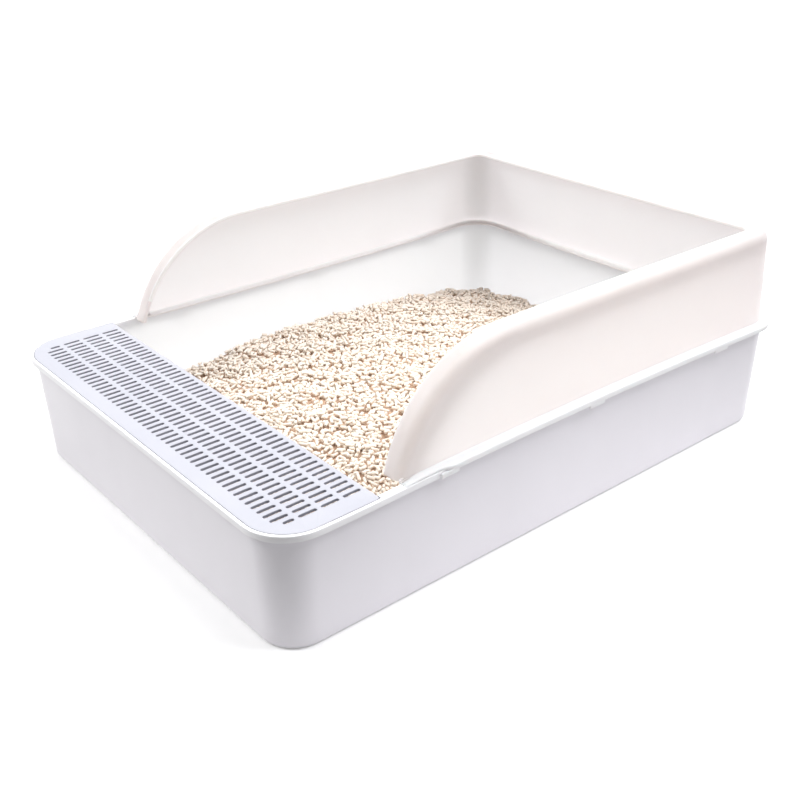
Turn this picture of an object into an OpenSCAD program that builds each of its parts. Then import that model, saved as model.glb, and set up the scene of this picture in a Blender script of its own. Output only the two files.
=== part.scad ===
// Open cat litter tray with an entry grille and a lift-off splash guard.
// Units are millimetres. The tray stands on Z = 0, X runs across it, and the entry is at -Y.

/* [Tray] */
// width of the tray over its rim
rim_w = 419; // [340:1:520]
// length of the tray over its rim
rim_l = 577; // [480:1:700]
// corner radius of the rim in plan
corner_r = 38; // [34:1:60]
// height of the rim top above the ground
tray_h = 102; // [84:1:150]
// thickness of the tray wall
tray_wall = 2.7; // [2:0.1:4]
// distance the rim stands out past the wall
rim_step = 4.5; // [3.5:0.1:7]
// height of the turned-down outer edge of the rim
rim_drop = 5.4; // [4.8:0.1:10]
// rounding of the rim's top edges
rim_round = 0.8; // [0.2:0.1:1.2]
// draft of the tray walls in degrees
tray_draft = 2; // [0.5:0.1:5]
// thickness of the tray floor
floor_t = 2.6; // [2:0.1:4]
// outside rounding between wall and floor
bottom_r = 2; // [1:0.5:9]
// inside rounding between wall and floor
inside_r = 9; // [4:0.5:14]

/* [Entry plate] */
// length of the entry plate from front to rear
plate_l = 90; // [60:1:110]
// thickness of the entry plate
plate_t = 2.4; // [1.6:0.1:2.8]
// width of rim left standing around the entry plate
plate_border = 2.7; // [2:0.1:3.4]
// clearance between the entry plate and its recess
plate_gap = 0.3; // [0.2:0.05:0.6]
// rounding of the two rear corners of the entry plate
plate_rear_r = 3; // [1:0.5:6]
// number of rows of slots
slot_rows = 4; // [2:1:4]
// length of one slot
slot_l = 15.4; // [10:0.1:17]
// width of one slot
slot_w = 3.2; // [2:0.1:4.5]
// spacing of the slots along a row
slot_pitch = 7.5; // [6:0.1:12]
// spacing of the rows
row_pitch = 19.1; // [18:0.1:22]
// solid strip between the last row and the rear edge
rear_strip = 4; // [3:0.1:8]
// solid strip between the slots and the rounded edge
edge_strip = 11.7; // [8:0.1:16]

/* [Splash guard] */
// height of the guard above the rim
guard_h = 88.8; // [60:0.5:140]
// thickness of the guard's wall
guard_t = 2; // [1.6:0.1:3]
// lean of the guard's walls toward the middle in degrees
guard_lean = 2.4; // [0:0.1:5]
// distance from the rim's outer edge to the foot of the guard's wall
guard_inset = 6.7; // [6:0.1:10]
// rounding between the foot flange and the wall
foot_r = 2.5; // [1:0.5:5]
// outer radius of the shoulder at the top edge
shoulder_r = 9; // [6:0.5:11]
// width of the flat lip past the shoulder
lip_w = 10; // [5:0.5:12]
// depth of the turned-down inner edge of the lip
lip_turn = 3.5; // [2.5:0.1:6]
// radius of the curve that runs down to the rim at each front end
front_r = 120; // [100:1:160]
// distance from the entry plate's rear edge to the guard's front ends
guard_behind = 20; // [6:1:60]
// clearance between the skirt and the rim's outer edge
skirt_gap = 0.3; // [0.2:0.05:0.6]
// depth of the skirt below the rim top
skirt_drop = 2.6; // [2:0.1:8]
// distance from the guard's front ends to the start of the skirt
skirt_start = 34; // [10:1:50]
// width of one tab below the skirt
tab_w = 18; // [8:1:25]
// depth of one tab below the skirt
tab_drop = 2.8; // [1:0.1:5]
// number of tabs on each side
tab_count = 3; // [2:1:5]
// distance from the rear corner to the last tab
tab_rear = 48; // [5:1:90]

/* [Litter] */
// depth of the litter above the floor at the middle
litter_h = 54; // [20:1:60]
// fall of the litter surface from the middle to the side walls
litter_side_fall = 12; // [2:0.5:14]
// fall of the litter surface from the middle to the end walls
litter_end_fall = 28; // [4:0.5:30]
// height of the uneven waves in the litter surface
wave_h = 5; // [0:0.5:8]
// spacing of the waves in the litter surface
wave_l = 58; // [50:1:120]
// clearance between the litter and the tray
litter_gap = 0.4; // [0.3:0.05:1]

/* [Hidden] */
$fn = 64;

// the skirt stands past the rim at the back only, so the tray sits a little forward
skirt_out = skirt_gap + guard_t;
mid_y = -skirt_out / 2;
front_y = mid_y - rim_l / 2;
back_y = mid_y + rim_l / 2;
rim_top_w = rim_step + tray_wall;
slope = tan(tray_draft);

// rounds a size, or each point of a profile, to a micron, so that neighbouring stretches meet
function micron(v) = round(v * 1000) / 1000;
function to_microns(points) = [for (p = points) [micron(p[0]), micron(p[1])]];

// points of a quarter round from angle a0 to a1 about (cx, cy)
function arc(cx, cy, r, a0, a1, n) =
    [for (i = [0 : n]) let (a = a0 + (a1 - a0) * i / n) [cx + r * cos(a), cy + r * sin(a)]];

// inset of the outer and the inner wall face at height z
function wall_out(z) = rim_step + (tray_h - rim_drop - z) * slope;
function wall_in(z) = rim_top_w + (tray_h - z) * slope;

// profile of the tray wall as [inset from the rim's edge, height]
inside_e = wall_in(floor_t + inside_r) + inside_r;
bottom_e = wall_out(bottom_r);
tray_profile = to_microns(concat(
    [[corner_r, 0]],
    arc(bottom_e + bottom_r, bottom_r, bottom_r, 270, 180, 5),
    [[rim_step, tray_h - rim_drop], [0, tray_h - rim_drop]],
    arc(rim_round, tray_h - rim_round, rim_round, 180, 90, 3),
    arc(rim_top_w - rim_round, tray_h - rim_round, rim_round, 90, 0, 3),
    arc(inside_e, floor_t + inside_r, inside_r, 180, 270, 5),
    [[corner_r, floor_t]]
));

// the profile turned into the corner's own radius coordinate
function round_corner(profile) = [for (p = profile) [corner_r - p[0], p[1]]];

// one straight side at +X, from y0 to y1
module side(profile, y0, y1) {
    translate([rim_w / 2, y1, 0])
        rotate([90, 0, 0])
            linear_extrude(y1 - y0)
                polygon([for (p = profile) [-p[0], p[1]]]);
}

// the straight end at +Y
module back_end(profile) {
    span = rim_w - 2 * corner_r;
    translate([-span / 2, back_y, 0])
        rotate([90, 0, 90])
            linear_extrude(span)
                polygon([for (p = profile) [-p[0], p[1]]]);
}

// the rounded corner at +X +Y
module back_corner(profile) {
    translate([rim_w / 2 - corner_r, back_y - corner_r, 0])
        rotate_extrude(angle = 90)
            polygon(round_corner(profile));
}

// a copy turned half round about the tray's middle
module turned() {
    translate([0, mid_y, 0])
        rotate([0, 0, 180])
            translate([0, -mid_y, 0])
                children();
}

// half of the closed wall: one side, one end and two corners
module half_wall(profile) {
    side(profile, front_y + corner_r, back_y - corner_r);
    back_end(profile);
    back_corner(profile);
    mirror([1, 0, 0])
        back_corner(profile);
}

// outline of the rim moved inward by e, cut at y1, as points
function front_outline(e, y1, rear_r) =
    let (
        r = corner_r - e,
        cx = rim_w / 2 - corner_r,
        cy = front_y + corner_r,
        xs = rim_w / 2 - e
    )
    concat(
        arc(-cx, cy, r, 180, 270, 12),
        arc(cx, cy, r, 270, 360, 12),
        arc(xs - rear_r, y1 - rear_r, rear_r, 0, 90, 4),
        arc(-xs + rear_r, y1 - rear_r, rear_r, 90, 180, 4)
    );

plate_edge = plate_border + plate_gap;
plate_rear_y = front_y + plate_edge + plate_l;

module tray() {
    color([0.86, 0.85, 0.89])
    difference() {
        union() {
            half_wall(tray_profile);
            turned()
                half_wall(tray_profile);
            floor_w = rim_w - 2 * corner_r;
            floor_l = rim_l - 2 * corner_r;
            translate([-floor_w / 2, mid_y - floor_l / 2, 0])
                cube([floor_w, floor_l, floor_t]);
        }
        translate([0, 0, tray_h - plate_t])
            linear_extrude(plate_t + 1)
                polygon(front_outline(plate_border, plate_rear_y + plate_gap, 0.5));
    }
}

// slots: the front end of each one stops at the rounded edge strip
slot_e = plate_edge + edge_strip;
slot_arc_r = corner_r - slot_e;
slot_cx = rim_w / 2 - corner_r;
slot_cy = front_y + corner_r;
function slot_limit(x) =
    let (dx = max(0, abs(x) + slot_w / 2 - slot_cx))
    dx >= slot_arc_r ? slot_cy : slot_cy - sqrt(slot_arc_r * slot_arc_r - dx * dx);

// outline of one slot with round ends
function slot_points(x, y0, y1) = concat(
    arc(x, y0 + slot_w / 2, slot_w / 2, 180, 360, 6),
    arc(x, y1 - slot_w / 2, slot_w / 2, 0, 180, 6)
);

module slots() {
    count = floor((rim_w / 2 - slot_e - slot_w / 2) / slot_pitch);
    for (row = [0 : slot_rows - 1]) {
        y1 = plate_rear_y - rear_strip - row * row_pitch;
        for (i = [-count : count]) {
            x = i * slot_pitch;
            y0 = max(y1 - slot_l, slot_limit(x));
            if (y1 - y0 > 1.6 * slot_w)
                polygon(slot_points(x, y0, y1));
        }
    }
}

module entry_plate() {
    color([0.83, 0.86, 0.92])
    translate([0, 0, tray_h - plate_t])
        linear_extrude(plate_t)
            difference() {
                polygon(front_outline(plate_edge, plate_rear_y, plate_rear_r));
                slots();
            }
}

// splash guard: its foot line lies on the rim, at guard_inset from the rim's edge
guard_front_y = plate_rear_y + guard_behind;
curve_w = guard_h - front_r;
function curve_run(w) = sqrt(front_r * front_r - (w - curve_w) * (w - curve_w));
curve_y = micron(guard_front_y + curve_run(0));

// inset and height of a point n inward of the wall's outer face and w up along it
function lean(n, w) = [
    guard_inset + n * cos(guard_lean) + w * sin(guard_lean),
    tray_h + w * cos(guard_lean) - n * sin(guard_lean)
];
function leaned(points) = [for (p = points) lean(p[0], p[1])];

// the rolled top edge in the wall's own plane, as [n, w], outer side then inner side, with
// thinned taken off both faces
lip_end = shoulder_r + lip_w;
lip_in_r = shoulder_r - guard_t;
function lip_outer(top, thinned) = concat(
    arc(shoulder_r, top - shoulder_r, shoulder_r - thinned, 180, 90, 6),
    [[lip_end - thinned, top - thinned], [lip_end - thinned, top - lip_turn + thinned]]
);
function lip_inner(top, thinned) =
    let (n = lip_end - guard_t + thinned)
    concat(
        [[n, top - lip_turn + thinned], [n, top - guard_t + thinned]],
        arc(shoulder_r, top - shoulder_r, lip_in_r + thinned, 90, 180, 6)
    );

// foot: flange on the rim, with the skirt outside the rim's edge where it has one
foot_top = tray_h + guard_t;
wall_foot = lean(0, guard_t + foot_r);
wall_in_foot = lean(guard_t, 0);
function foot_fillet() = arc(wall_foot[0] - foot_r, foot_top + foot_r, foot_r, 270, 360, 5);
skirt = [
    [-skirt_gap, tray_h],
    [-skirt_gap, tray_h - skirt_drop],
    [-skirt_out, tray_h - skirt_drop],
    [-skirt_out, foot_top]
];
flange_edge = 0.6;
bare_flange = [[flange_edge, tray_h], [flange_edge, foot_top]];
full_section = to_microns(concat(
    skirt,
    foot_fillet(),
    leaned(lip_outer(guard_h, 0)),
    leaned(lip_inner(guard_h, 0)),
    [[wall_in_foot[0], tray_h]]
));
stub_top = guard_t + foot_r + 1;
foot_start_y = micron(curve_y - curve_run(stub_top));
skirt_y = guard_front_y + skirt_start;
tab_pitch = (back_y - corner_r - tab_rear - tab_w - skirt_y) / (tab_count - 1);
function foot_section(points) = to_microns(concat(
    points,
    foot_fillet(),
    leaned([[0, stub_top], [guard_t, stub_top]]),
    [[wall_in_foot[0], tray_h]]
));

// places something drawn in the left wall's own plane: X inward, Y back, Z up the wall
module on_left_wall() {
    translate([-rim_w / 2 + guard_inset, 0, tray_h])
        rotate([0, guard_lean, 0])
            children();
}

// the curved front of the left wall with its rolled edge, cut off level at the rim
module left_front() {
    // the lip starts on a strip of the wall, which the round sheet below it overlaps
    strip = 5;
    root = front_r - shoulder_r - strip;
    // it is a hair thinner than the straight wall and runs on a little way inside that wall
    thinned = 0.05;
    run_on = 1;
    edge = concat(
        [[thinned, root]],
        lip_outer(front_r, thinned),
        lip_inner(front_r, thinned),
        [[guard_t - thinned, root]]
    );
    past_rim = 10;
    turn = 90 + past_rim + asin(curve_w / front_r);
    intersection() {
        on_left_wall()
            translate([0, curve_y, curve_w])
                rotate([90, 0, 90]) {
                    rotate([0, 0, 90 - run_on])
                        rotate_extrude(angle = turn + run_on, $fn = 128)
                            polygon([for (p = edge) [p[1], p[0]]]);
                    translate([0, 0, thinned])
                        cylinder(r = root + strip / 2, h = guard_t - 2 * thinned, $fn = 128);
                }
        translate([-rim_w / 2, curve_y - front_r, tray_h])
            cube([rim_w / 2, front_r + run_on, guard_h]);
    }
}

module left_side() {
    mirror([1, 0, 0]) {
        side(full_section, curve_y, back_y - corner_r);
        side(foot_section(skirt), skirt_y, curve_y);
        side(foot_section(bare_flange), foot_start_y, skirt_y);
    }
    left_front();
    for (i = [0 : tab_count - 1])
        translate([-rim_w / 2 - skirt_out, skirt_y + i * tab_pitch, tray_h - skirt_drop - tab_drop])
            cube([guard_t, tab_w, tab_drop + skirt_drop / 2]);
}

module splash_guard() {
    color([0.93, 0.93, 0.95, 0.6]) {
        left_side();
        mirror([1, 0, 0])
            left_side();
        back_end(full_section);
        back_corner(full_section);
        mirror([1, 0, 0])
            back_corner(full_section);
    }
}

// litter surface height above the ground at (x, y)
half_w = rim_w / 2 - wall_in(floor_t);
half_l = rim_l / 2 - wall_in(floor_t);
function litter_z(x, y) = floor_t + litter_h + wave(360 * x / wave_l, 360 * y / wave_l)
    - litter_side_fall * pow(x / half_w, 2)
    - litter_end_fall * pow((y - mid_y) / half_l, 2);

// crossed waves at phases a and b, each bent by the other so that no two heaps are alike
wave_bend = 60;
function wave(a, b) =
    wave_h / 2 * sin(a + wave_bend * sin(b / 3)) * sin(b + wave_bend * sin(a / 3));

// points strictly between p and q, which they part into n equal steps
function run(p, q, n) = [for (i = [1 : n - 1]) p + (q - p) * i / n];

// the tray's outline moved inward by e, as a ring of points at height z
corner_steps = 4;
side_steps = 22;
end_steps = 15;
function ring(e, z) =
    let (
        r = corner_r - e,
        cx = rim_w / 2 - corner_r,
        cy = rim_l / 2 - corner_r,
        outline = concat(
            run([cx + r, -cy], [cx + r, cy], side_steps),
            arc(cx, cy, r, 0, 90, corner_steps),
            run([cx, cy + r], [-cx, cy + r], end_steps),
            arc(-cx, cy, r, 90, 180, corner_steps),
            run([-cx - r, cy], [-cx - r, -cy], side_steps),
            arc(-cx, -cy, r, 180, 270, corner_steps),
            run([-cx, -cy - r], [cx, -cy - r], end_steps),
            arc(cx, -cy, r, 270, 360, corner_steps)
        )
    )
    [for (p = outline) [p[0], mid_y + p[1], z]];

module litter() {
    low = floor_t + litter_gap;
    knee = floor_t + inside_r;
    edge = ring(wall_in(knee) + litter_gap, knee);
    steps = 9;
    top = [for (k = [0 : steps - 1]) for (p = edge)
        let (
            share = 1 - k / steps,
            x = p[0] * share,
            y = mid_y + (p[1] - mid_y) * share
        )
        [x, y, max(knee + 0.5, litter_z(x, y))]];
    centres = [[0, mid_y, litter_z(0, mid_y)], [0, mid_y, low]];
    points = concat(ring(inside_e + litter_gap, low), edge, top, centres);
    last = len(points) - 1;
    n = len(edge);
    walls = [for (k = [0 : steps]) for (i = [0 : n - 1])
        let (j = (i + 1) % n, a = k * n, b = (k + 1) * n)
        each [[a + i, b + i, b + j], [a + i, b + j, a + j]]];
    caps = [for (i = [0 : n - 1])
        let (j = (i + 1) % n, a = (steps + 1) * n)
        each [[a + i, last - 1, a + j], [i, j, last]]];
    color([0.87, 0.78, 0.6])
        polyhedron(points = points, faces = concat(walls, caps));
}

tray();
entry_plate();
splash_guard();
litter();
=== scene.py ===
"""Drawer litter box: tray, entry plate, frosted splash guard and pellet litter.

Shapes are made in millimetres, in the frame of the CAD model, and are turned into metres with MM
when their mesh is made. An inset is a distance in plan, inward from the outer edge of the rim.
"""
import math

import bmesh
import bpy
import numpy as np
from mathutils import Matrix, Vector, geometry


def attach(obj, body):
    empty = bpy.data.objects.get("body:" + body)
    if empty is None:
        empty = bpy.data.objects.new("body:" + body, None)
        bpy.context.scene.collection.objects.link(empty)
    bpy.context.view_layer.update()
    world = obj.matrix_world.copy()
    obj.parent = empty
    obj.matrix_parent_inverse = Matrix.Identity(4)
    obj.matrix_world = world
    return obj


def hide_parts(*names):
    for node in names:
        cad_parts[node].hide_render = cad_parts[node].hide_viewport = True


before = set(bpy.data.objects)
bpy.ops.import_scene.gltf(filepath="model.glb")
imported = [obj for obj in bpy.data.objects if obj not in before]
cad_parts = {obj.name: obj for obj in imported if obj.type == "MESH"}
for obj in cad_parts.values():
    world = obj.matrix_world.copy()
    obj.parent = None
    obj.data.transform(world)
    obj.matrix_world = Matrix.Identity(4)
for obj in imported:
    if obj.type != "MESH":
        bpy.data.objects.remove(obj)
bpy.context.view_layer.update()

MM = 0.001

# ---------------------------------------------------------------- sizes, as in part.scad
RIM_W, RIM_L, CORNER_R, TRAY_H = 419.0, 577.0, 38.0, 102.0
TRAY_WALL, RIM_STEP, RIM_DROP, RIM_ROUND = 2.7, 4.5, 5.4, 0.8
FLOOR_T, BOTTOM_R, INSIDE_R = 2.6, 2.0, 9.0
SLOPE = math.tan(math.radians(2.0))

PLATE_L, PLATE_T, PLATE_BORDER, PLATE_GAP, PLATE_REAR_R = 90.0, 2.4, 2.7, 0.3, 3.0
SLOT_ROWS, SLOT_L, SLOT_W, SLOT_PITCH, ROW_PITCH = 4, 15.4, 3.2, 7.5, 19.1
REAR_STRIP, EDGE_STRIP = 4.0, 11.7

GUARD_H, GUARD_T, GUARD_LEAN, GUARD_INSET = 88.8, 2.0, math.radians(2.4), 6.7
FOOT_R, SHOULDER_R, LIP_W, LIP_TURN, FRONT_R = 2.5, 9.0, 10.0, 3.5, 120.0
GUARD_BEHIND, SKIRT_GAP, SKIRT_DROP, SKIRT_START = 20.0, 0.3, 2.6, 34.0
TAB_W, TAB_DROP, TAB_COUNT, TAB_REAR = 18.0, 2.8, 3, 48.0

LITTER_H, LITTER_SIDE_FALL, LITTER_END_FALL, LITTER_GAP = 54.0, 12.0, 28.0, 0.4
WAVE_H, WAVE_L, WAVE_BEND = 5.0, 58.0, math.radians(60)

# ---------------------------------------------------------------- sizes that follow from them
SKIRT_OUT = SKIRT_GAP + GUARD_T
MID_Y = -SKIRT_OUT / 2
FRONT_Y, BACK_Y = MID_Y - RIM_L / 2, MID_Y + RIM_L / 2
SIDE_Y0, SIDE_Y1 = FRONT_Y + CORNER_R, BACK_Y - CORNER_R  # ends of the straight long sides
END_X, END_Y = RIM_W / 2 - CORNER_R, RIM_L / 2 - CORNER_R  # middles of the rounded corners
RIM_TOP_W = RIM_STEP + TRAY_WALL
KNEE_Z = FLOOR_T + INSIDE_R
PLATE_EDGE = PLATE_BORDER + PLATE_GAP
PLATE_REAR_Y = FRONT_Y + PLATE_EDGE + PLATE_L
POCKET_Y = PLATE_REAR_Y + PLATE_GAP
PLATE_Z = TRAY_H - PLATE_T

GUARD_FRONT_Y = PLATE_REAR_Y + GUARD_BEHIND
CURVE_W = GUARD_H - FRONT_R  # the front curve's middle, up the wall from the rim
CURVE_Y = GUARD_FRONT_Y + math.sqrt(FRONT_R**2 - CURVE_W**2)
SKIRT_Y = GUARD_FRONT_Y + SKIRT_START
FOOT_START_W = 5.5  # the foot starts where the front curve has come this far up the wall
FOOT_START_Y = CURVE_Y - math.sqrt(FRONT_R**2 - (FOOT_START_W - CURVE_W) ** 2)
TAB_PITCH = (SIDE_Y1 - TAB_REAR - TAB_W - SKIRT_Y) / (TAB_COUNT - 1)
LEAN_C, LEAN_S = math.cos(GUARD_LEAN), math.sin(GUARD_LEAN)


def wall_out(z):
    """Inset of the tray wall's outer face at height z."""
    return RIM_STEP + (TRAY_H - RIM_DROP - z) * SLOPE


def wall_in(z):
    """Inset of the tray wall's inner face at height z."""
    return RIM_TOP_W + (TRAY_H - z) * SLOPE


def arc(cx, cy, r, a0, a1, n):
    """Points of a round from angle a0 to a1, in degrees."""
    turns = [math.radians(a0 + (a1 - a0) * i / n) for i in range(n + 1)]
    return [(cx + r * math.cos(a), cy + r * math.sin(a)) for a in turns]


def steps(a, b, n):
    """Values from a to b in n equal steps, without the ends."""
    return [a + (b - a) * i / n for i in range(1, n)]


def ladder(a, b, pitch):
    """Values from a to b, both kept, about pitch apart."""
    n = max(1, round(abs(b - a) / pitch))
    return [a] + steps(a, b, n) + [b]


def smooth(a, b, v):
    """0 up to a, 1 from b on, and a soft step between them."""
    t = min(1.0, max(0.0, (v - a) / (b - a)))
    return t * t * (3 - 2 * t)


def mix(a, b, share):
    """The value at share of the way from a to b."""
    return a + (b - a) * share


# ---------------------------------------------------------------- bow of the walls
BOW = 5.1  # the thin long walls pull in by this much at the rim
BOW_TOP = 1.5  # and by this much at the top of the guard
BOW_MID_Y, BOW_FRONT, BOW_REAR = 15.0, 230.0, 240.0  # where they do so most, and how far it goes
BOW_X0, BOW_X1 = 120, 185  # between these, a point starts to follow its long wall
BOW_BACK, BOW_BACK_X = 1.6, 180  # the back wall pulls in by this much, as far as this x
BOW_Y0, BOW_Y1 = 200, 262  # between these, a point starts to follow the back wall
TAIL_T, TAIL_V, TAIL_L = 0.9, 0.19, 0.211  # the soft end of a bow: its start, height and length


def soft_hump(t):
    """1 at t = 0, falling as a parabola and running out smoothly past TAIL_T."""
    t = abs(t)
    if t < TAIL_T:
        return 1 - t * t
    tail = 1 - (t - TAIL_T) / TAIL_L
    return TAIL_V * tail * tail if tail > 0 else 0.0


def rise(z):
    """Share of the bow at height z: none at the ground, all at the rim, less above it."""
    if z <= TRAY_H:
        return max(0.0, z / TRAY_H)
    up = min(1.0, (z - TRAY_H) / GUARD_H)
    return 1 - (1 - BOW_TOP / BOW) * up


def side_bow(y, z):
    """How far the long walls pull in at y and height z."""
    reach = BOW_REAR if y > BOW_MID_Y else BOW_FRONT
    return BOW * soft_hump((y - BOW_MID_Y) / reach) * rise(z)


def bowed(p):
    """Moves a point with the bow of the long walls and of the back wall."""
    x, y, z = p
    side = side_bow(y, z) * smooth(BOW_X0, BOW_X1, abs(x))
    back = BOW_BACK * soft_hump(x / BOW_BACK_X) * rise(z) * smooth(BOW_Y0, BOW_Y1, y)
    return (x - math.copysign(side, x), y - back, z)


# ---------------------------------------------------------------- mesh helpers
def put(name, data):
    """An object that holds data, linked to the scene."""
    obj = bpy.data.objects.new(name, data)
    bpy.context.scene.collection.objects.link(obj)
    return obj


def metres(p):
    """A point in millimetres, turned into metres."""
    x, y, z = p
    return (x * MM, y * MM, z * MM)


def finish_mesh(mesh, angle):
    """Outward normals, smooth where two faces meet at less than angle degrees."""
    bm = bmesh.new()
    bm.from_mesh(mesh)
    bmesh.ops.remove_doubles(bm, verts=bm.verts, dist=1e-7)
    bmesh.ops.recalc_face_normals(bm, faces=bm.faces)
    bm.to_mesh(mesh)
    bm.free()
    mesh.shade_smooth()
    mesh.set_sharp_from_angle(angle=math.radians(angle))


def add_mesh(name, verts, faces, angle, bow=True, skins=None):
    """A shaded mesh object from points in millimetres; skins numbers each face's material."""
    mesh = bpy.data.meshes.new(name)
    points = [bowed(v) for v in verts] if bow else verts
    mesh.from_pydata([metres(p) for p in points], [], faces)
    if skins:
        mesh.polygons.foreach_set("material_index", skins)
    mesh.validate()
    finish_mesh(mesh, angle)
    return put(name, mesh)


def object_from_bmesh(name, bm):
    """An object made from bm, which is then freed."""
    mesh = bpy.data.meshes.new(name)
    bm.to_mesh(mesh)
    bm.free()
    return put(name, mesh)


def swept(rows):
    """Faces between rows of points; each row is a closed loop, and all have one length."""
    m = len(rows[0])
    faces = []
    for i in range(len(rows) - 1):
        a, b = i * m, (i + 1) * m
        for k in range(m):
            l = (k + 1) % m
            faces.append((a + k, b + k, b + l, a + l))
    return faces


# ---------------------------------------------------------------- stations round the rim
CORNER_STEPS = 16


def station(cx, cy, dx, dy):
    """Maps an inset to a point in plan."""
    return lambda e: (cx + dx * (CORNER_R - e), cy + dy * (CORNER_R - e))


def corner(sx, sy, a0, a1, n=CORNER_STEPS):
    """Stations round one corner, both ends left out."""
    turns = [math.radians(a) for a in steps(a0, a1, n)]
    return [station(sx * END_X, MID_Y + sy * END_Y, math.cos(a), math.sin(a)) for a in turns]


def right_side(ys):
    """Stations on the right side, one for each y."""
    return [station(END_X, y, 1, 0) for y in ys]


def left_side(ys):
    """Stations on the left side, one for each y."""
    return [station(-END_X, y, -1, 0) for y in ys]


def across(sy, xs):
    """Stations on the back, with sy 1, or on the front, with sy -1, one for each x."""
    return [station(x, MID_Y + sy * END_Y, 0, sy) for x in xs]


def inset_of(x, y):
    """Inset of the point (x, y)."""
    dx, dy = abs(x) - END_X, abs(y - MID_Y) - END_Y
    if dx > 0 and dy > 0:
        return CORNER_R - math.hypot(dx, dy)
    return CORNER_R - max(dx, dy)


# ---------------------------------------------------------------- tray
FLAT_E = CORNER_R - 6  # inset of the ring that bounds the flat faces under and on the floor
BASE_IN, BASE_STEP_IN, BASE_GAP = 5.6, 5.0, 0.9  # the base's outer edge stands off the ground
RIM_T, FLANGE_T = 2.6, 2.1  # the rim's top and its turned-down edge, which is hollow behind
UNDER_R, TIP_R, TIP_CUT = 0.7, 0.4, 0.2  # round under the rim, round and cut on the edge's tip
TUCK, TUCK_DOWN = 1.2, 2.7  # step back of the rim's outer edge, and how far down it starts
PROFILE_STEPS = 8  # along the wall, outside and inside

# steps inward of PLATE_BORDER and down from the rim: at the recess, and where there is none
POCKET_EDGE = [(-0.2, 0), (-0.06, 0.06), (0, 0.25), (0, PLATE_T)]
PLAIN_EDGE = [(-0.2, 0), (-0.06, 0), (0.1, 0), (0.4, 0)]
# the rim's inner edge under the guard, inward of the wall's inner face and down from the rim
BEAD = [(0.5, 0), (2.4, 0.03), (3.1, 0.5), (2.9, 1.3), (1.2, 2.3), (0.1, 3.2)]
BEAD_Y0, BEAD_Y1 = FOOT_START_Y - 2, FOOT_START_Y + 18  # the bead grows from here to here
TUCK_Y0, TUCK_Y1 = SKIRT_Y + 6, SKIRT_Y + 16  # and the step back from here to here
GROWN_Y = SKIRT_Y + 18  # both are full from here on


def tray_profile(pocket, bead=0.0, tucked=0.0):
    """Section of the tray wall, from under the floor round the rim to the floor inside.

    With pocket it has the recess for the entry plate. With bead, the rim's inner edge swells
    to a small bead under the splash guard, and with tucked, its outer edge steps back under
    the skirt; both run from 0 to 1.
    """
    out_e, tuck = wall_out(BOTTOM_R), TUCK * tucked
    under, tip = TRAY_H - RIM_T, TRAY_H - RIM_DROP
    points = [(FLAT_E, 0), (out_e + BASE_IN, 0), (out_e + BASE_STEP_IN, BASE_GAP)]
    points += arc(out_e + BOTTOM_R, BOTTOM_R + BASE_GAP, BOTTOM_R, 270, 180, 6)
    points += [(wall_out(z), z) for z in steps(BOTTOM_R + BASE_GAP, under - 1, PROFILE_STEPS)]
    points += arc(RIM_STEP - UNDER_R, under - UNDER_R, UNDER_R, 0, 90, 3)
    points += [(FLANGE_T, under), (FLANGE_T, tip + TIP_CUT), (FLANGE_T - TIP_CUT, tip)]
    points += arc(TIP_R + tuck, tip + TIP_R, TIP_R, 270, 180, 3)
    points += [(tuck, TRAY_H - TUCK_DOWN)]
    points += arc(RIM_ROUND, TRAY_H - RIM_ROUND, RIM_ROUND, 180, 90, 5)
    for inward, down in POCKET_EDGE if pocket else PLAIN_EDGE:
        points.append((PLATE_BORDER + inward, TRAY_H - down))
    top = PLATE_Z if pocket else TRAY_H
    inner = wall_in(top)
    edge = arc(inner - RIM_ROUND, top - RIM_ROUND, RIM_ROUND, 90, 0, len(BEAD) - 1)
    for (e, z), (inward, down) in zip(edge, BEAD):
        points.append((e + (inner + inward - e) * bead, z + (top - down - z) * bead))
    points += [(wall_in(z), z) for z in steps(PLATE_Z - RIM_ROUND, KNEE_Z, PROFILE_STEPS)]
    points += arc(wall_in(KNEE_Z) + INSIDE_R, KNEE_Z, INSIDE_R, 180, 270, 6)
    return points + [(FLAT_E, FLOOR_T)]


def make_tray():
    """The tray, with its outer face as skin 0 and its inner face as skin 1, a copy of the same
    plastic painted lighter as painted light.
    """
    plain, pocket = tray_profile(False, 1.0, 1.0), tray_profile(True)
    ys_front = ladder(SIDE_Y0, POCKET_Y, pitch=9)
    ys_rear = ladder(POCKET_Y, GROWN_Y, pitch=4) + ladder(GROWN_Y, SIDE_Y1, pitch=12)[1:]
    sides = [
        tray_profile(False, smooth(BEAD_Y0, BEAD_Y1, y), smooth(TUCK_Y0, TUCK_Y1, y))
        for y in ys_rear
    ]
    xs = ladder(END_X, -END_X, pitch=16)
    back = corner(1, 1, 0, 90) + across(1, xs) + corner(-1, 1, 90, 180)
    front = left_side(ys_front[::-1]) + corner(-1, -1, 180, 270)
    front += across(-1, xs[::-1]) + corner(1, -1, 270, 360)
    spots = [(s, pocket) for s in right_side(ys_front)]
    spots += list(zip(right_side(ys_rear), sides))
    spots += [(s, plain) for s in back]
    spots += list(zip(left_side(ys_rear[::-1]), sides[::-1]))
    spots += [(s, pocket) for s in front]
    verts = [(*place(e), z) for place, profile in spots for e, z in profile]
    n, m = len(spots), len(plain)
    # the inner face, painted lighter, starts where the bead ends; the recess keeps the darker outer
    # skin, as painted shade in the trap under the plate
    inner = max(k for k in range(m) if plain[k][1] == TRAY_H) + len(BEAD) - 1
    faces, skins = [], []
    for i in range(n):
        a, b = i * m, (i + 1) % n * m
        for k in range(m - 1):
            faces.append((a + k, b + k, b + k + 1, a + k + 1))
            skins.append(int(k >= inner and spots[i][1] is not pocket))
    faces.append(tuple(i * m for i in range(n)))
    faces.append(tuple(i * m + m - 1 for i in range(n)))
    return add_mesh("tray_shell", verts, faces, angle=40, skins=skins + [0, 1])


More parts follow.
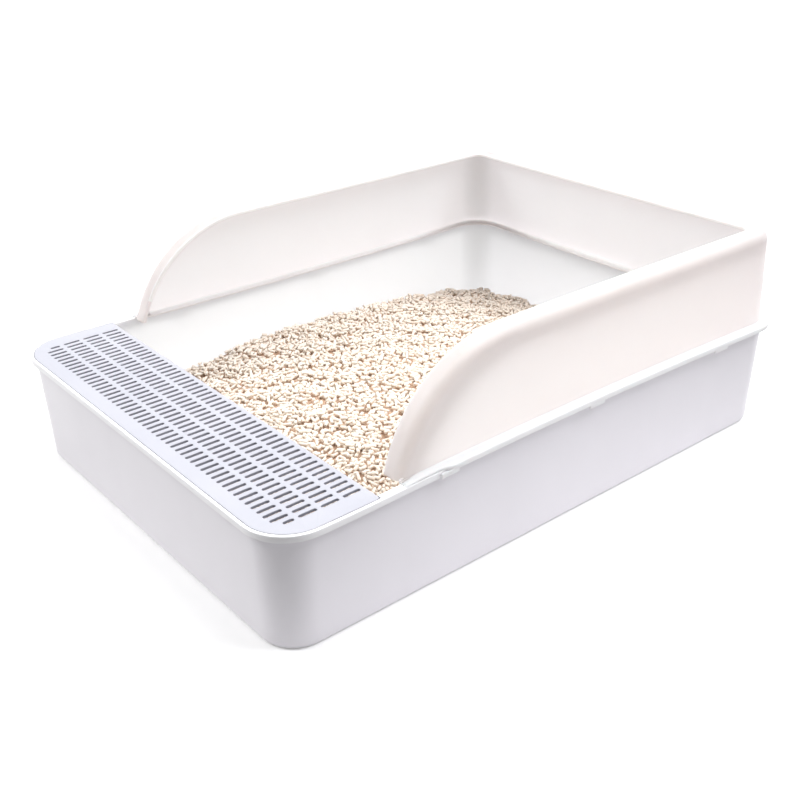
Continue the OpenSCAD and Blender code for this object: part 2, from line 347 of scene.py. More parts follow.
# ---------------------------------------------------------------- entry plate
SLOT_E = PLATE_EDGE + EDGE_STRIP
SLOT_ARC_R = CORNER_R - SLOT_E
SLOT_LEAST = 1.6 * SLOT_W  # a slot that would be cut shorter than this is left out
SEAM = 0.3  # the real plate lies a little loose in its recess
# broken edges, from the top down: outline drawn in, slots grown, height
PLATE_LAYERS = [
    (SEAM + 0.25, 0.35, TRAY_H),
    (SEAM + 0.08, 0.1, TRAY_H - 0.1),
    (SEAM, 0, TRAY_H - 0.35),
    (SEAM, 0, PLATE_Z + 0.2),
    (SEAM + 0.2, 0.2, PLATE_Z),
]
TOP_STEPS = 2  # below this many steps down, the walls take the slots' skin, painted darker as shade
TRIANGLES_INSIDE = 1  # what delaunay_2d_cdt returns: the triangles inside the outline


def slot_limit(x):
    """Front end that a slot at x may reach: the rounded edge strip stops it."""
    dx = max(0.0, abs(x) + SLOT_W / 2 - END_X)
    if dx >= SLOT_ARC_R:
        return SIDE_Y0
    return SIDE_Y0 - math.sqrt(SLOT_ARC_R**2 - dx * dx)


def slot_places():
    """Each slot's x, front end and rear end."""
    count = math.floor((RIM_W / 2 - SLOT_E - SLOT_W / 2) / SLOT_PITCH)
    for row in range(SLOT_ROWS):
        y1 = PLATE_REAR_Y - REAR_STRIP - row * ROW_PITCH
        for i in range(-count, count + 1):
            x = i * SLOT_PITCH
            y0 = max(y1 - SLOT_L, slot_limit(x))
            if y1 - y0 > SLOT_LEAST:
                yield x, y0, y1


def slot_loop(x, y0, y1, grow):
    """Outline of a slot, larger all round by grow."""
    r = SLOT_W / 2 + grow
    low = arc(x, y0 + SLOT_W / 2, r, 180, 360, 8)
    return low + arc(x, y1 - SLOT_W / 2, r, 0, 180, 8)


def plate_loop(shrink):
    """Outline of the plate, drawn in all round by shrink."""
    e, rr = PLATE_EDGE + shrink, PLATE_REAR_R
    r, x1, y1 = CORNER_R - e, RIM_W / 2 - e, PLATE_REAR_Y - shrink
    loop = arc(-END_X, SIDE_Y0, r, 180, 270, 16) + arc(END_X, SIDE_Y0, r, 270, 360, 16)
    loop += arc(x1 - rr, y1 - rr, rr, 0, 90, 6)
    return loop + arc(-x1 + rr, y1 - rr, rr, 90, 180, 6)


def make_plate():
    """The entry plate, with its top as skin 0 and its slots and underside as skin 1, painted darker
    as shade.
    """
    slots = list(slot_places())
    verts, faces, skins, starts = [], [], [], []
    for shrink, grow, z in PLATE_LAYERS:
        starts.append(len(verts))
        loops = [plate_loop(shrink)] + [slot_loop(*slot, grow) for slot in slots]
        verts += [(x, y, z) for loop in loops for x, y in loop]
    sizes = [len(loop) for loop in loops]
    edges, loop_of = [], []
    for which, size in enumerate(sizes):
        at = len(loop_of)
        edges += [(at + k, at + (k + 1) % size) for k in range(size)]
        loop_of += [which] * size
    for step, (a, b) in enumerate(zip(starts, starts[1:])):
        faces += [(a + k, a + l, b + l, b + k) for k, l in edges]
        skins += [int(step >= TOP_STEPS)] * len(edges)
    for start in (starts[0], starts[-1]):
        flat = [Vector(v[:2]) for v in verts[start:start + len(loop_of)]]
        out = geometry.delaunay_2d_cdt(flat, edges, [], TRIANGLES_INSIDE, 1e-6)
        index = [original[0] for original in out[3]]
        for face in out[2]:
            loops_met = {loop_of[index[v]] for v in face}
            if len(loops_met) > 1 or 0 in loops_met:  # a slot's own triangles fill its hole
                faces.append(tuple(start + index[v] for v in face))
                skins.append(int(start > 0))
    return add_mesh("entry_grille", verts, faces, angle=30, skins=skins)


# ---------------------------------------------------------------- splash guard
WALL_SINK = 0.5  # the wall is drawn from this far below the rim
CUT_Z = TRAY_H + 0.7  # and cut off here, inside its foot
WEB = [0.0, 0.12, 0.25, 0.4, 0.55, 0.7, 0.85]  # shares of the way up the straight wall
SHOULDER_TURNS = [math.radians(9 * i) for i in range(11)]
CURVE_TOP, CURVE_END, CURVE_STEPS = math.radians(90), math.radians(172), 40

FOOT_THIN = 0.3  # share of its thickness with which the foot starts
FOOT_SOFT, SKIRT_SOFT = 16, 14  # length over which it thickens, and moves out over the rim
FOOT_IN, FOOT_OUT = 0.9, 0.6  # insets of its inner and outer corner before it does so
DROP_Y0, DROP_Y1 = SKIRT_Y + 3, SKIRT_Y + 15  # the skirt comes down from here to here
SKIRT_FULL_Y = SKIRT_Y + 22
FLARE = 1.2  # the inner edge turns in by this much over the rim's bead
FLARE_Y = FOOT_START_Y + 14  # from here on, it has the skin of the thick folds, painted lighter for the light on them
FLARE_EDGE = 0.15  # height of its edge
TAB_INSET = 0.12  # a tab is this much thinner than the skirt, on either face


def lean(n, w):
    """Inset and height of a point n inward of the wall's outer face and w up along it."""
    return (GUARD_INSET + n * LEAN_C + w * LEAN_S, TRAY_H + w * LEAN_C - n * LEAN_S)


def wall_section():
    """Wall and rolled lip as (n, depth below the top edge, share of the web)."""
    end, back = SHOULDER_R + LIP_W, SHOULDER_R + LIP_W - GUARD_T
    tip = [(end - 4, 0), (end - 0.9, 0), (end - 0.26, 0.26), (end, 0.9), (end, LIP_TURN - 0.5)]
    tip += [(end - 0.25, LIP_TURN - 0.1), (end - 0.6, LIP_TURN), (back + 0.5, LIP_TURN)]
    tip += [(back + 0.1, LIP_TURN - 0.3), (back, GUARD_T + 0.4), (back - 0.5, GUARD_T)]

    def shoulder(r, turns):
        """The round between wall and lip."""
        return [(SHOULDER_R - r * math.cos(a), SHOULDER_R - r * math.sin(a)) for a in turns]

    folded = shoulder(SHOULDER_R, SHOULDER_TURNS) + tip
    folded += shoulder(SHOULDER_R - GUARD_T, SHOULDER_TURNS[::-1])
    ring = [(0.0, 0.0, share) for share in WEB]
    ring += [(n, depth, None) for n, depth in folded]
    return ring + [(GUARD_T, 0.0, share) for share in WEB[::-1]]


def wall_row(place):
    """One section of wall and lip at a station."""
    row = []
    for n, depth, share in wall_section():
        if share is None:
            w = GUARD_H - depth
        else:
            w = -WALL_SINK + (GUARD_H - SHOULDER_R + WALL_SINK) * share
        e, z = lean(n, w)
        row.append((*place(e), z))
    return row


def curve_row(sign, theta):
    """One section of wall and lip at a turn of the front curve; sign tells left from right."""
    row = []
    foot = min((-WALL_SINK - CURVE_W) / math.sin(theta), FRONT_R - SHOULDER_R - 2)
    for n, depth, share in wall_section():
        if share is None:
            r = FRONT_R - depth
        else:
            r = foot + (FRONT_R - SHOULDER_R - foot) * share
        e, z = lean(n, CURVE_W + r * math.sin(theta))
        row.append((sign * (RIM_W / 2 - e), CURVE_Y + r * math.cos(theta), z))
    return row


def guard_back():
    """Stations round the back, from the left side to the right side."""
    stations = corner(-1, 1, 180, 90) + across(1, ladder(-END_X, END_X, pitch=14))
    return stations + corner(1, 1, 90, 0)


def solid(rows):
    """A closed solid swept through rows, each a closed loop of points."""
    m = len(rows[0])
    bm = bmesh.new()
    verts = [bm.verts.new(p) for row in rows for p in row]
    for face in swept(rows):
        bm.faces.new([verts[i] for i in face])
    bm.faces.new(verts[:m])
    bm.faces.new(verts[-m:])
    bmesh.ops.recalc_face_normals(bm, faces=bm.faces)
    return bm


def make_wall():
    """Wall and lip, cut off level just above the rim."""
    span = CURVE_END - CURVE_TOP
    thetas = [CURVE_TOP + span * i / CURVE_STEPS for i in range(CURVE_STEPS + 1)]
    ys = ladder(CURVE_Y, SIDE_Y1, pitch=12)[1:]
    rows = [curve_row(-1, theta) for theta in thetas[::-1]]
    rows += [wall_row(s) for s in left_side(ys) + guard_back() + right_side(ys[::-1])]
    rows += [curve_row(1, theta) for theta in thetas]
    bm = solid(rows)
    geom = bm.verts[:] + bm.edges[:] + bm.faces[:]
    cut = bmesh.ops.bisect_plane(
        bm, geom=geom, plane_co=(0, 0, CUT_Z), plane_no=(0, 0, 1), clear_inner=True
    )
    rim = [g for g in cut["geom_cut"] if isinstance(g, bmesh.types.BMEdge)]
    bmesh.ops.edgeloop_fill(bm, edges=rim)
    bmesh.ops.recalc_face_normals(bm, faces=bm.faces)
    return object_from_bmesh("guard_wall", bm)


def foot_section(y):
    """Flange on the rim with the fillet to the wall; from SKIRT_Y on it laps over the rim."""
    up = mix(FOOT_THIN, 1, smooth(FOOT_START_Y, FOOT_START_Y + FOOT_SOFT, y))
    out, drop = smooth(SKIRT_Y, SKIRT_Y + SKIRT_SOFT, y), smooth(DROP_Y0, DROP_Y1, y)
    top, low = TRAY_H + GUARD_T * up, TRAY_H - SKIRT_DROP * drop
    inner, outer = mix(FOOT_IN, -SKIRT_GAP, out), mix(FOOT_OUT, -SKIRT_OUT, out)
    width = inner - outer
    ring = [(inner, TRAY_H + 0.05), (inner, low + 0.1 * width), (inner - 0.15 * width, low)]
    ring += [(outer + 0.2 * width, low), (outer, low + 0.18 * width)]
    r = min(mix(1.8, 1.1, out), (top - low) * 0.9)
    ring += arc(outer + r, top - r, r, 180, 90, 4)
    fillet = FOOT_R * up
    e, z = lean(0, GUARD_T * up + fillet)
    ring += arc(e - fillet, top + fillet, fillet, 270, 355, 6)
    ring += [lean(n, GUARD_T * up + fillet + 0.3) for n in (0.5, 1.3)]
    flare = FLARE * (up - FOOT_THIN) / (1 - FOOT_THIN)
    ring += [lean(1.3, 3.5), lean(GUARD_T + 0.03, 3.3), lean(GUARD_T + 0.08 + 0.15 * flare, 2)]
    ring += [lean(GUARD_T + 0.1 + 0.5 * flare, 1.1)]
    foot_e = lean(GUARD_T, 0)[0] + 0.1 + flare
    return ring + [(foot_e, TRAY_H + FLARE_EDGE), (foot_e, TRAY_H)]


def make_foot():
    """Flange, fillet and skirt, all the way round the guard."""
    side = ladder(FOOT_START_Y, SKIRT_Y, pitch=3)
    side += ladder(SKIRT_Y, SKIRT_FULL_Y, pitch=2)[1:]
    side += ladder(SKIRT_FULL_Y, SIDE_Y1, pitch=12)[1:]
    spots = list(zip(left_side(side), side))
    spots += [(s, SIDE_Y1) for s in guard_back()]
    spots += list(zip(right_side(side[::-1]), side[::-1]))
    rows = [[(*place(e), z) for e, z in foot_section(y)] for place, y in spots]
    return object_from_bmesh("guard_foot", solid(rows))


def make_tab(sign, y):
    """A small tab below the skirt."""
    x0, x1 = RIM_W / 2 + SKIRT_GAP, RIM_W / 2 + SKIRT_OUT
    z0, z1 = TRAY_H - SKIRT_DROP - TAB_DROP, TRAY_H - SKIRT_DROP / 2
    bm = bmesh.new()
    bmesh.ops.create_cube(bm, size=1)
    for v in bm.verts:
        x = (x0 + x1) / 2 + v.co.x * (x1 - x0 - 2 * TAB_INSET)
        v.co = (sign * x, y + TAB_W / 2 + v.co.y * TAB_W, (z0 + z1) / 2 + v.co.z * (z1 - z0))
    low = [e for e in bm.edges if all(v.co.z < z0 + 0.1 for v in e.verts)]
    ends = [e for e in bm.edges if abs(e.verts[0].co.z - e.verts[1].co.z) > 1]
    bmesh.ops.bevel(bm, geom=low + ends, offset=0.5, segments=2, affect="EDGES")
    bmesh.ops.recalc_face_normals(bm, faces=bm.faces)
    return object_from_bmesh("guard_tab", bm)


def unite(base, others):
    """One closed mesh out of base and others, which are then removed."""
    for other in others:
        mod = base.modifiers.new("unite", "BOOLEAN")
        mod.operation, mod.solver, mod.object = "UNION", "EXACT", other
    bpy.context.view_layer.update()
    graph = bpy.context.evaluated_depsgraph_get()
    mesh = bpy.data.meshes.new_from_object(base.evaluated_get(graph))
    for obj in [base] + others:
        bpy.data.objects.remove(obj)
    return mesh


def guard_skin(x, y, z):
    """1 on the thick folds, which take a whiter copy of the frosted plastic, partly the thick
    plastic's whiter look and partly painted light: the foot outside the wall, its flare inside, and
    the lip's edge.
    """
    e = inset_of(x, y)
    foot = z < TRAY_H + GUARD_T + 1.6 and e < GUARD_INSET - 0.3
    flare = z < TRAY_H + 3 and e > GUARD_INSET + GUARD_T - 0.2 and y > FLARE_Y
    lip_edge = z > TRAY_H + 20 and e > lean(SHOULDER_R + LIP_W - GUARD_T - 0.1, z - TRAY_H)[0]
    return int(foot or flare or lip_edge)


def make_guard():
    """The splash guard, one closed mesh of wall, foot and tabs."""
    tabs = [
        make_tab(sign, SKIRT_Y + i * TAB_PITCH) for sign in (-1, 1) for i in range(TAB_COUNT)
    ]
    mesh = unite(make_foot(), [make_wall()] + tabs)
    for face in mesh.polygons:
        face.material_index = guard_skin(*face.center)
    for v in mesh.vertices:
        v.co = metres(bowed(v.co))
    mesh.name = "splash_guard_wall"
    finish_mesh(mesh, 32)
    return put("splash_guard_wall", mesh)


# ---------------------------------------------------------------- litter
HALF_W, HALF_L = RIM_W / 2 - wall_in(FLOOR_T), RIM_L / 2 - wall_in(FLOOR_T)
PELLET_DEPTH = 3.6  # the loose pellets lie this deep on the bed
LOOSE_LOW = 1.0  # and their mean height is this much below the surface in part.scad
SCRAPE, SCRAPE_X, SCRAPE_Y = 7.5, -165, -150  # a scrape near the front left: depth and middle
SCRAPE_W, SCRAPE_L = 75, 62

BED_E = wall_in(30) + 1.4  # inset of the upper edge of the bed
BED_PLAY, BED_SIDE_H = 1.0, 0.5  # at the knee: its distance from the wall, and its least side
BED_PITCH, BED_CORNER_STEPS, BED_RINGS = 18, 8, 24

SEED = 20
DROPS = 60000  # pellets dropped; those that would stand too high are taken away
DROP_X, DROP_Y = (-199, 199), (-286, 284)
PELLET_L, PELLET_R = (4.2, 8.0), (1.25, 1.65)  # least and greatest length and radius
MAP_X0, MAP_Y0, MAP_NX, MAP_NY = -200, -290, 401, 581  # the height map, one point a millimetre
HALF_SPOTS = 3  # a pellet feels the ground under its middle and at this many spots each way
STEEPEST, TILT = 0.3, 0.9  # steepest rise, as a share of the length, and the share of it taken
SETTLE = 0.8  # height of a pellet's axis above what it lies on, as a share of its radius
HIGH, TOO_HIGH, HIGH_LOST = 0.5, 1.6, 0.9  # nine in ten of the high ones are taken away
WALL_PLAY, WALL_DOWN = 0.3, 6  # play at the tray's wall, and how far below the surface it holds

PELLET_SIDES = 6
PELLET_RINGS = ((-0.5, 0.8), (-0.42, 1.0), (0.42, 1.0), (0.5, 0.8))  # along it, share of radius
PELLET_TURNS, TURN_STEP = 5, 0.37  # turns about its axis that a pellet can have, in its sides
GROUP_Y = 95  # the pellets are split into three meshes, here and at -GROUP_Y


def litter_z(x, y):
    """Height of the litter surface, with the crossed waves that part.scad gives it."""
    a, b = 2 * math.pi * x / WAVE_L, 2 * math.pi * y / WAVE_L
    wave = math.sin(a + WAVE_BEND * math.sin(b / 3)) * math.sin(b + WAVE_BEND * math.sin(a / 3))
    wave *= WAVE_H / 2
    return (
        FLOOR_T + LITTER_H + wave
        - LITTER_SIDE_FALL * (x / HALF_W) ** 2
        - LITTER_END_FALL * ((y - MID_Y) / HALF_L) ** 2
    )


def loose_z(x, y):
    """Mean height of the loose pellets."""
    far = -(((x - SCRAPE_X) / SCRAPE_W) ** 2) - ((y - SCRAPE_Y) / SCRAPE_L) ** 2
    return litter_z(x, y) - LOOSE_LOW - SCRAPE * math.exp(far)


def make_bed():
    """The closed body of litter under the loose pellets."""
    ys, xs = ladder(SIDE_Y0, SIDE_Y1, BED_PITCH), ladder(END_X, -END_X, BED_PITCH)
    ring = right_side(ys) + corner(1, 1, 0, 90, BED_CORNER_STEPS)
    ring += across(1, xs) + corner(-1, 1, 90, 180, BED_CORNER_STEPS)
    ring += left_side(ys[::-1]) + corner(-1, -1, 180, 270, BED_CORNER_STEPS)
    ring += across(-1, xs[::-1]) + corner(1, -1, 270, 360, BED_CORNER_STEPS)
    low = FLOOR_T + LITTER_GAP
    rows = [
        [(*s(wall_in(KNEE_Z) + INSIDE_R + LITTER_GAP), low) for s in ring],
        [(*s(wall_in(KNEE_Z) + BED_PLAY), KNEE_Z) for s in ring],
    ]
    for step in range(BED_RINGS):
        share = 1 - step / BED_RINGS
        row = []
        for x, y in [s(BED_E) for s in ring]:
            px, py = x * share, MID_Y + (y - MID_Y) * share
            row.append((px, py, max(KNEE_Z + BED_SIDE_H, loose_z(px, py) - PELLET_DEPTH)))
        rows.append(row)
    verts = [p for row in rows for p in row]
    top, bottom, n = len(verts), len(verts) + 1, len(ring)
    last = top - n
    verts += [(0, MID_Y, loose_z(0, MID_Y) - PELLET_DEPTH), (0, MID_Y, low)]
    faces = swept(rows)
    for k in range(n):
        l = (k + 1) % n
        faces += [(last + k, last + l, top), (l, k, bottom)]
    return add_mesh("litter_bed", verts, faces, angle=60, bow=False)


def pile():
    """Drops pellets one by one onto a height map; yields centre, direction, length, radius."""
    rng = np.random.default_rng(SEED)
    xs, ys = np.arange(MAP_NX) + MAP_X0, np.arange(MAP_NY) + MAP_Y0
    heights = np.array([[loose_z(x, y) - PELLET_DEPTH for y in ys] for x in xs])
    shares = np.linspace(-0.5, 0.5, 2 * HALF_SPOTS + 1)
    for _ in range(DROPS):
        x, y = rng.uniform(*DROP_X), rng.uniform(*DROP_Y)
        length = rng.uniform(*PELLET_L)
        radius = rng.uniform(*PELLET_R)
        turn = rng.uniform(0, math.pi)
        dx, dy = math.cos(turn), math.sin(turn)
        px, py = x + dx * length * shares, y + dy * length * shares
        z = loose_z(x, y)
        need = wall_in(z - WALL_DOWN) + radius + WALL_PLAY + side_bow(y, z)
        if min(inset_of(px[0], py[0]), inset_of(px[-1], py[-1])) < need:
            continue
        ix, iy = np.rint(px).astype(int) - MAP_X0, np.rint(py).astype(int) - MAP_Y0
        under = heights[ix, iy]
        left, right = under[:HALF_SPOTS + 1].max(), under[HALF_SPOTS:].max()
        climb = float(np.clip(right - left, -STEEPEST * length, STEEPEST * length))
        tilt = climb * shares * TILT
        centre_z = float((under - tilt).max()) + radius * SETTLE
        if centre_z > z + TOO_HIGH or (centre_z > z + HIGH and rng.uniform() < HIGH_LOST):
            continue
        top = centre_z + tilt + radius * SETTLE
        for ox, oy in ((0, 0), (1, 0), (-1, 0), (0, 1), (0, -1)):
            np.maximum.at(heights, (ix + ox, iy + oy), top)
        yield (x, y, centre_z), Vector((dx * length, dy * length, climb * TILT)), length, radius


def add_pellet(verts, faces, index, centre, axis, length, radius):
    """Adds one six-sided stick with narrower ends; its index turns it about its axis."""
    sides = range(PELLET_SIDES)
    along = axis.normalized()
    across_1 = along.cross(Vector((0, 0, 1))).normalized()
    across_2 = along.cross(across_1)
    start, last = len(verts), (len(PELLET_RINGS) - 1) * PELLET_SIDES
    for end, end_r in PELLET_RINGS:
        for k in sides:
            a = 2 * math.pi * (k + TURN_STEP * (index % PELLET_TURNS)) / PELLET_SIDES
            spot = Vector(centre) + along * (end * length)
            spot += (across_1 * math.cos(a) + across_2 * math.sin(a)) * (radius * end_r)
            verts.append(tuple(spot * MM))
    for at in range(start, start + last, PELLET_SIDES):
        for k in sides:
            a, b = at + k, at + (k + 1) % PELLET_SIDES
            faces.append((a, b, b + PELLET_SIDES, a + PELLET_SIDES))
    faces.append(tuple(start + k for k in sides)[::-1])
    faces.append(tuple(start + last + k for k in sides))


def make_pellets():
    """All loose pellets, as three meshes."""
    parts = [("front", [], []), ("middle", [], []), ("rear", [], [])]
    for index, pellet in enumerate(pile()):
        y = pellet[0][1]
        _, verts, faces = parts[int(y > -GROUP_Y) + int(y > GROUP_Y)]
        add_pellet(verts, faces, index, *pellet)
    made = []
    for name, verts, faces in parts:
        mesh = bpy.data.meshes.new("litter_pellets_" + name)
        mesh.from_pydata(verts, [], faces)
        mesh.shade_smooth()
        mesh.set_sharp_from_angle(angle=math.radians(64))
        made.append(put("litter_pellets_" + name, mesh))
    return made


# ---------------------------------------------------------------- materials
class Nodes:
    """A short way to write the node tree of a material or of the world."""

    def __init__(self, owner, shader):
        owner.use_nodes = True
        self.owner = owner
        self.tree = owner.node_tree
        self.shader = self.tree.nodes[shader]

    def feed(self, socket, source):
        """Links a socket to source, or sets its value."""
        if isinstance(source, bpy.types.NodeSocket):
            self.tree.links.new(source, socket)
        else:
            socket.default_value = source

    def node(self, kind, links=(), **settings):
        """A new node with its settings made and its inputs fed."""
        made = self.tree.nodes.new(kind)
        for key, value in settings.items():
            setattr(made, key, value)
        for socket, source in links:
            self.feed(made.inputs[socket], source)
        return made

    def set(self, socket, value):
        """Feeds an input of the shader."""
        self.feed(self.shader.inputs[socket], value)

    def end(self, output, shader):
        """Feeds the output node."""
        self.feed(self.tree.nodes[output].inputs[0], shader)

    def place(self):
        """The place on the object, in metres."""
        return self.node("ShaderNodeTexCoord").outputs["Object"]

    def stretched(self, scale):
        """The place, with each axis scaled."""
        links = [("Vector", self.place()), ("Scale", scale)]
        return self.node("ShaderNodeMapping", links).outputs["Vector"]

    def height(self):
        """The height on the object, in metres."""
        return self.node("ShaderNodeSeparateXYZ", [(0, self.place())]).outputs["Z"]

    def noise(self, scale, detail=2.0, rough=0.5, vector=None):
        """A soft random value with about scale blobs to the metre."""
        vector = vector or self.place()
        links = [("Scale", scale), ("Detail", detail), ("Roughness", rough), ("Vector", vector)]
        return self.node("ShaderNodeTexNoise", links).outputs["Fac"]

    def ramp(self, value, a, b, low=0.0, high=1.0):
        """Goes from low to high while value goes from a to b."""
        links = [("Value", value), ("From Min", a), ("From Max", b)]
        links += [("To Min", low), ("To Max", high)]
        return self.node("ShaderNodeMapRange", links).outputs["Result"]

    def mix(self, share, a, b):
        """The colour at share of the way from a to b."""
        links = [(0, share), (6, a), (7, b)]
        return self.node("ShaderNodeMix", links, data_type="RGBA").outputs[2]

    def clouds(self, noise, a, b):
        """A colour that drifts from a to b with the noise."""
        return self.mix(self.ramp(noise, 0.3, 0.7), a, b)

    def rough(self, scale, low, high):
        """A roughness that drifts from low to high."""
        self.set("Roughness", self.ramp(self.noise(scale), 0.3, 0.7, low, high))

    def milky(self, weight, depth, reach=(1.0, 0.92, 0.92)):
        """Lets light wander through the material, red, green and blue as far as depth * reach."""
        self.set("Subsurface Weight", weight)
        self.set("Subsurface Radius", reach)
        self.set("Subsurface Scale", depth)

    def bump(self, height, strength, distance):
        """Tilts the normal as if the surface stood up to distance higher, in metres."""
        links = [("Height", height), ("Strength", strength), ("Distance", distance)]
        self.set("Normal", self.node("ShaderNodeBump", links).outputs["Normal"])


def material(name):
    """The nodes of a new material."""
    return Nodes(bpy.data.materials.new(name), "Principled BSDF")


def rgb(r, g, b):
    """A colour as seen on screen, 0 to 255, turned into the linear value a shader takes."""
    def linear(v):
        v /= 255
        return v / 12.92 if v <= 0.04045 else ((v + 0.055) / 1.055) ** 2.4
    return (linear(r), linear(g), linear(b), 1.0)


def tray_material():
    """Satin lilac-white plastic, with the rim painted whiter as a painted highlight for the top
    light on it; faint flow marks, fine moulded grain.
    """
    m = material("tray_plastic")
    flow = m.noise(9.0, 3.0, 0.6, m.stretched((1, 1, 0.35)))
    wall = m.clouds(flow, rgb(236, 233, 238), rgb(240, 237, 242))
    # painted highlight: from just under the rim's edge up, the plastic is painted whiter, standing
    # in for the top light that falls on the rim
    rim = m.ramp(m.height(), 0.0955, 0.0972)
    m.set("Base Color", m.mix(rim, wall, rgb(252, 251, 253)))
    m.rough(45.0, 0.30, 0.38)
    m.set("Specular IOR Level", 0.45)
    m.bump(m.noise(900.0), 0.12, 0.0002)
    return m.owner


def inside_painted_light_material():
    """The tray's inner face: the same plastic painted near white, a lit copy that stands in for
    light the inside lacks, with light wandering far through it.
    """
    m = material("tray_inside_painted_light")
    flow = m.noise(8.0, 3.0, 0.6)
    m.set("Base Color", m.clouds(flow, rgb(249, 246, 248), rgb(252, 250, 251)))
    m.rough(45.0, 0.36, 0.44)
    m.set("Specular IOR Level", 0.4)
    m.milky(1.0, 0.15)
    m.bump(m.noise(900.0), 0.12, 0.0002)
    return m.owner


def plate_material(name, a, b):
    """Blue-grey plastic with a fine spark-eroded grain."""
    m = material(name)
    m.set("Base Color", m.clouds(m.noise(14.0, 3.0), a, b))
    m.rough(60.0, 0.46, 0.56)
    m.set("Specular IOR Level", 0.3)
    m.bump(m.noise(1400.0), 0.18, 0.0002)
    return m.owner


def guard_material(name, depth, a, b):
    """Frosted polypropylene: light wanders through it, and nothing behind it shows sharply."""
    m = material(name)
    m.set("Base Color", m.clouds(m.noise(7.0, 3.0, 0.55), a, b))
    m.rough(30.0, 0.46, 0.56)
    m.milky(1.0, depth)
    m.bump(m.noise(700.0, 3.0), 0.15, 0.0002)
    return m.owner


def pellet_material():
    """Pressed bean-fibre pellets: cream, each a little different, with a chalky skin."""
    m = material("litter_pellet")
    island = m.node("ShaderNodeNewGeometry").outputs["Random Per Island"]
    speck = m.noise(1500.0, 3.0, 0.6)
    base = m.mix(m.ramp(island, 0.0, 1.0), rgb(242, 227, 211), rgb(248, 239, 227))
    m.set("Base Color", m.mix(m.ramp(speck, 0.35, 0.7, 0.0, 0.5), base, rgb(251, 246, 237)))
    m.set("Roughness", 0.7)
    m.set("Specular IOR Level", 0.25)
    m.milky(0.3, 0.0012, (1.0, 1.0, 1.0))
    m.bump(m.noise(2200.0, 3.0), 0.5, 0.0003)
    return m.owner


def bed_painted_shade_material():
    """Painted shade: the litter between the loose pellets, coloured darker and browner for the
    shade in the gaps.
    """
    m = material("litter_bed")
    grain = m.noise(420.0, 3.0, 0.65)
    m.set("Base Color", m.clouds(grain, rgb(200, 165, 140), rgb(228, 200, 176)))
    m.set("Roughness", 0.85)
    m.bump(grain, 0.9, 0.002)
    return m.owner


def wear(obj, *materials):
    """Gives obj its materials, in the order of its skins."""
    for each in materials:
        obj.data.materials.append(each)


# ---------------------------------------------------------------- pieces
tray = make_tray()
wear(tray, tray_material(), inside_painted_light_material())
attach(tray, "tray")
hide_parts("tray")

plate = make_plate()
wear(
    plate,
    plate_material("plate_plastic", rgb(188, 189, 198), rgb(193, 194, 202)),
    # painted shade: the slots' walls and the plate's underside are painted darker, for the shade
    # inside the slots
    plate_material("plate_slots_painted_shade", rgb(142, 143, 153), rgb(150, 151, 160)),
)
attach(plate, "entry_plate")
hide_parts("entry_plate")

guard = make_guard()
wear(
    guard,
    guard_material("guard_frosted", 0.03, rgb(240, 229, 233), rgb(244, 233, 237)),
    # painted light: a whiter copy of the frosted plastic on the foot, flare and lip edge where they
    # catch the light, partly the thick folds' own whiter look
    guard_material("guard_edge_painted_light", 0.004, rgb(252, 250, 252), rgb(254, 252, 254)),
)
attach(guard, "splash_guard")
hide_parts("splash_guard")

bed = make_bed()
wear(bed, bed_painted_shade_material())
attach(bed, "tray")
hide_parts("litter")

pellet_skin = pellet_material()
for heap in make_pellets():
    wear(heap, pellet_skin)
    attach(heap, "tray")
    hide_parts("litter")

# ---------------------------------------------------------------- camera and lights
camera_data = bpy.data.cameras.new("camera")
camera_data.lens = 49.08
camera_data.sensor_width = 36.0
camera_data.clip_start = 0.01
camera = put("camera", camera_data)
camera.matrix_world = Matrix((
    (0.63769, -0.34690, 0.68776, 0.71435),
    (0.77016, 0.30328, -0.56113, -0.59327),
    (-0.01393, 0.88752, 0.46057, 0.51331),
    (0, 0, 0, 1),
))
bpy.context.scene.camera = camera


def soft_light(name, place, target, size, power, colour=(1, 1, 1)):
    """A square soft box at place that faces target."""
    data = bpy.data.lights.new(name, "AREA")
    data.shape = "SQUARE"
    data.size = size
    data.energy = power
    data.color = colour
    obj = put(name, data)
    obj.location = place
    obj.rotation_euler = (Vector(target) - Vector(place)).to_track_quat("-Z", "Y").to_euler()


soft_light("top_box", (0.1, 0.35, 1.4), (0.1, 0.35, 0), 1.1, 13.5)
soft_light("left_box", (-1.6, -1.7, 2.0), (0, 0, 0.08), 1.4, 51.5)
soft_light("right_box", (1.5, 1.6, 2.45), (0, 0, 0.08), 1.4, 50, (0.96, 0.96, 1.0))

# ---------------------------------------------------------------- world and floor
WHITE = (1, 1, 1, 1)
DARK_SIDE = (0.45, -0.45, -0.45)  # the studio is darker behind the camera's side of the table
FLOOR_HALF, FLOOR_Z = 12.0, -0.0002
FLOOR_GREY = (0.82, 0.82, 0.82, 1)


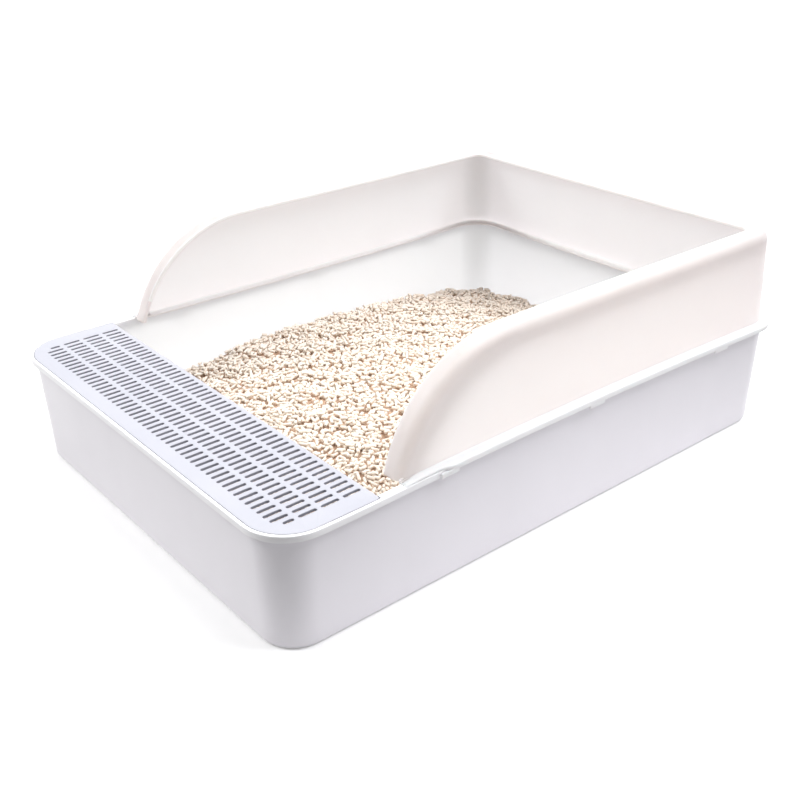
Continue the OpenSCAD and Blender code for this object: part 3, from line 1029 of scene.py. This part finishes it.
def shown_or_lit(nodes, shown, lit):
    """Mixes two shaders: shown for camera, glossy and transmission rays, lit for the rest."""
    path = nodes.node("ShaderNodeLightPath").outputs
    total = path["Is Camera Ray"]
    for name in ("Is Glossy Ray", "Is Transmission Ray"):
        links = [(0, total), (1, path[name])]
        total = nodes.node("ShaderNodeMath", links, operation="MAXIMUM").outputs[0]
    return nodes.node("ShaderNodeMixShader", [(0, total), (1, lit), (2, shown)]).outputs[0]


studio = Nodes(bpy.data.worlds.new("studio"), "Background")
toward = studio.node("ShaderNodeTexCoord").outputs["Generated"]
facing = studio.node(
    "ShaderNodeVectorMath", [(0, toward), (1, DARK_SIDE)], operation="DOT_PRODUCT"
)
studio.set("Color", WHITE)
studio.set("Strength", studio.ramp(facing.outputs["Value"], -0.64, 0.6, 0.71, 0.09))
white = studio.node("ShaderNodeBackground", [("Color", WHITE), ("Strength", 1.0)])
studio.end("World Output", shown_or_lit(studio, white.outputs[0], studio.shader.outputs[0]))
bpy.context.scene.world = studio.owner

floor_mesh = bpy.data.meshes.new("floor")
corners = [(sx * FLOOR_HALF, sy * FLOOR_HALF, 0) for sx, sy in ((-1, -1), (1, -1), (1, 1), (-1, 1))]
floor_mesh.from_pydata(corners, [], [(0, 1, 2, 3)])
floor = put("floor", floor_mesh)
floor.location.z = FLOOR_Z

paint = material("floor_paint")
paint.set("Base Color", FLOOR_GREY)
paint.set("Roughness", 0.9)
paint.set("Specular IOR Level", 0.1)
spot = paint.node("ShaderNodeVectorMath", [(0, paint.place())], operation="LENGTH")
away = spot.outputs["Value"]
# past the table the lamps reach the floor less, so its own glow keeps it white there
glow = paint.node("ShaderNodeEmission", [("Strength", paint.ramp(away, 0.6, 2.5, 0.2, 0.9))])
# and the floor sends light back onto the object only from close by
sheet = paint.node("ShaderNodeBsdfDiffuse", [("Color", paint.ramp(away, 0.28, 0.6, 0.9, 0.1))])
both = paint.node("ShaderNodeAddShader", [(0, paint.shader.outputs[0]), (1, glow.outputs[0])])
paint.end("Material Output", shown_or_lit(paint, both.outputs[0], sheet.outputs[0]))
wear(floor, paint.owner)

bpy.context.scene.view_settings.view_transform = "Standard"
